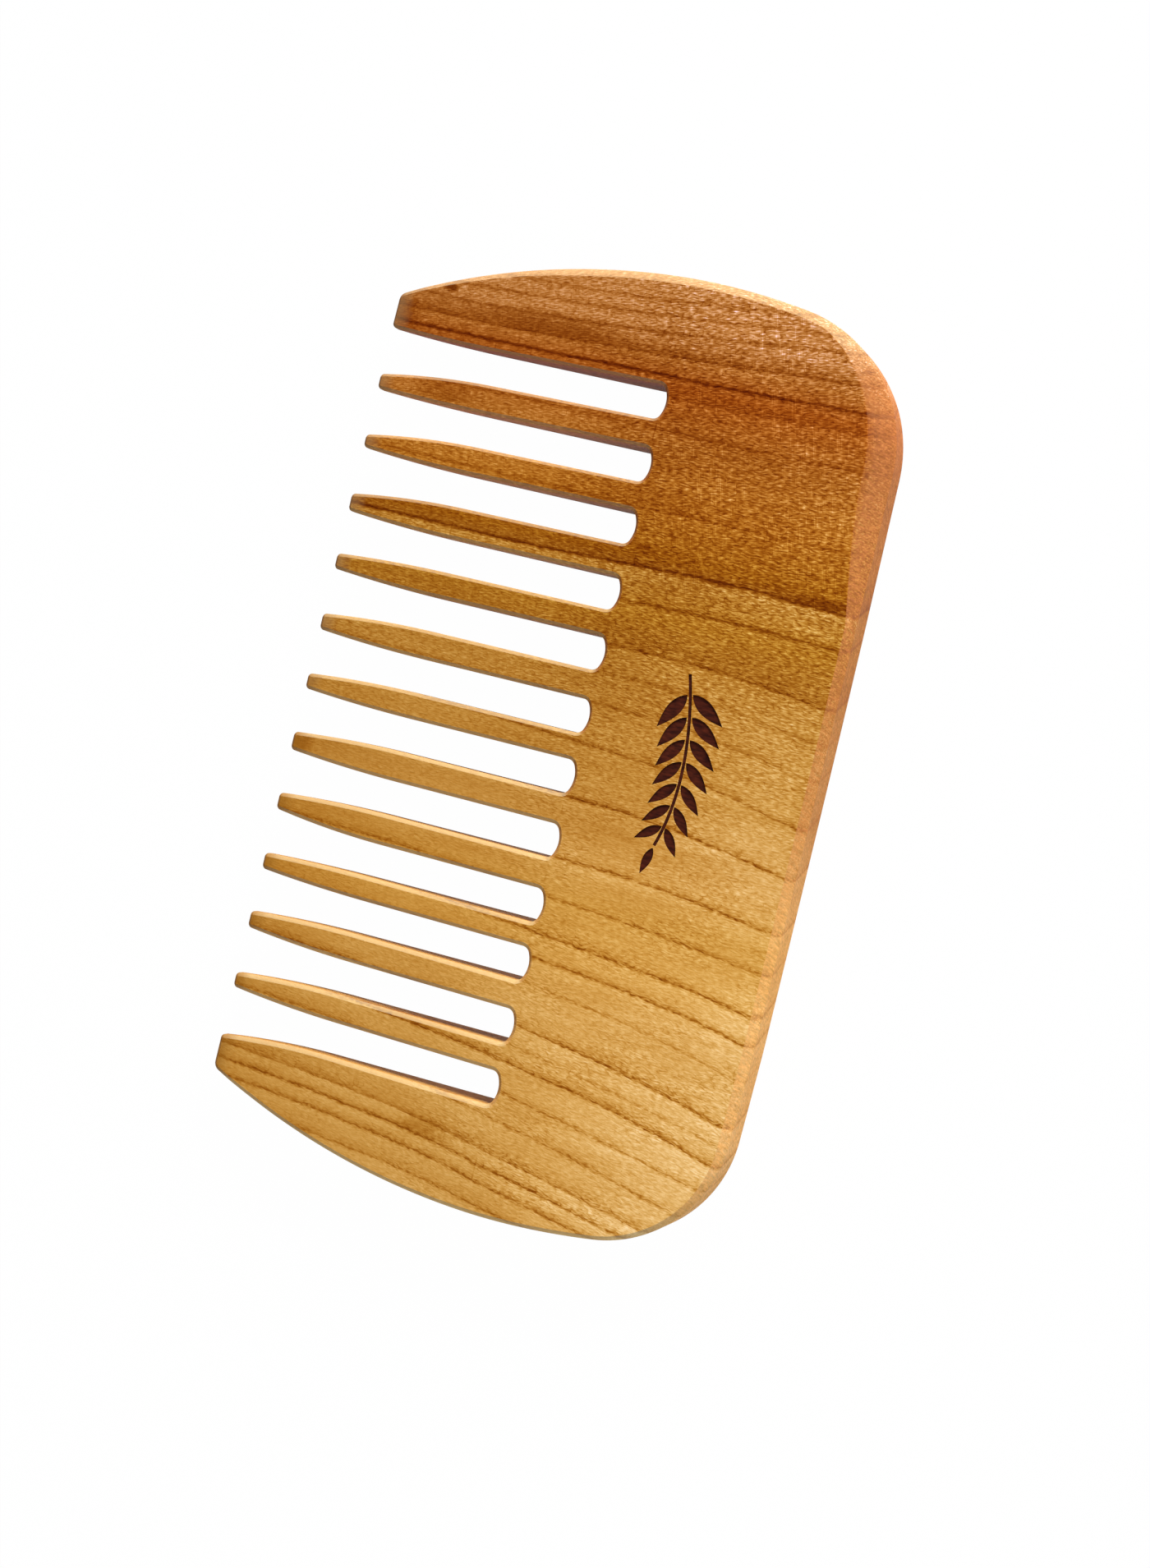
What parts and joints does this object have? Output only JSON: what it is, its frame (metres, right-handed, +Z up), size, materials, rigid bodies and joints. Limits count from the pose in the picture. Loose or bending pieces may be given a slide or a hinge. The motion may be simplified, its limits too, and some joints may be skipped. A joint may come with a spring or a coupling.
{
  "type": "comb",
  "caption": "Wide-tooth hair comb cut from one board of oiled fruitwood, with a rounded back, wedge-thinned teeth and broad guard teeth.",
  "frame": {"origin": "under the middle of the comb's box, on the surface that the comb lies on", "axes": "+X along the spine, +Y from the tooth tips to the spine, +Z up through the board's thickness"},
  "size_m": [0.1358, 0.0784, 0.009],
  "materials": {
    "fruitwood": "sanded fine and oiled, satin, with growth rings along the teeth and end grain on the spine and tips"
  },
  "bodies": {
    "root": {"comb_body": "fruitwood"}
  },
  "joints": []
}
